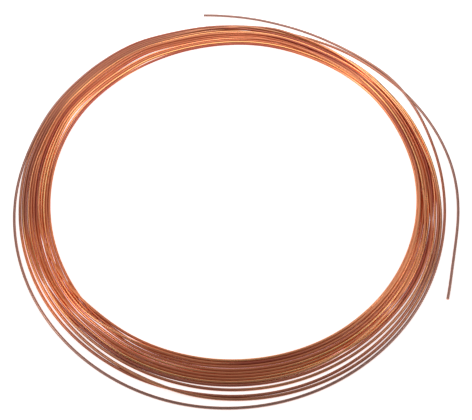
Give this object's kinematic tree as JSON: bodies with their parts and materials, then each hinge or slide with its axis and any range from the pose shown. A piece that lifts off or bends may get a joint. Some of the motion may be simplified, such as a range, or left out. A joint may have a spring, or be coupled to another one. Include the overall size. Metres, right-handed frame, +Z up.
{
  "type": "copper tube coil",
  "caption": "Flat, loosely wound coil of thin bare copper capillary tube, both ends free on the outside; stock to unwind and cut to length.",
  "frame": {"origin": "middle of the coil's bounding box, on the ground plane that it lies on", "axes": "+Z up, along the axis the coil is wound round; the lower free end and the double layer are on the +X side, the upper free end on the +Y side"},
  "size_m": [0.34, 0.3524, 0.0041],
  "materials": {
    "copper": "bright drawn copper, lightly tarnished"
  },
  "bodies": {
    "root": {"tube_coil": "copper"}
  },
  "joints": []
}
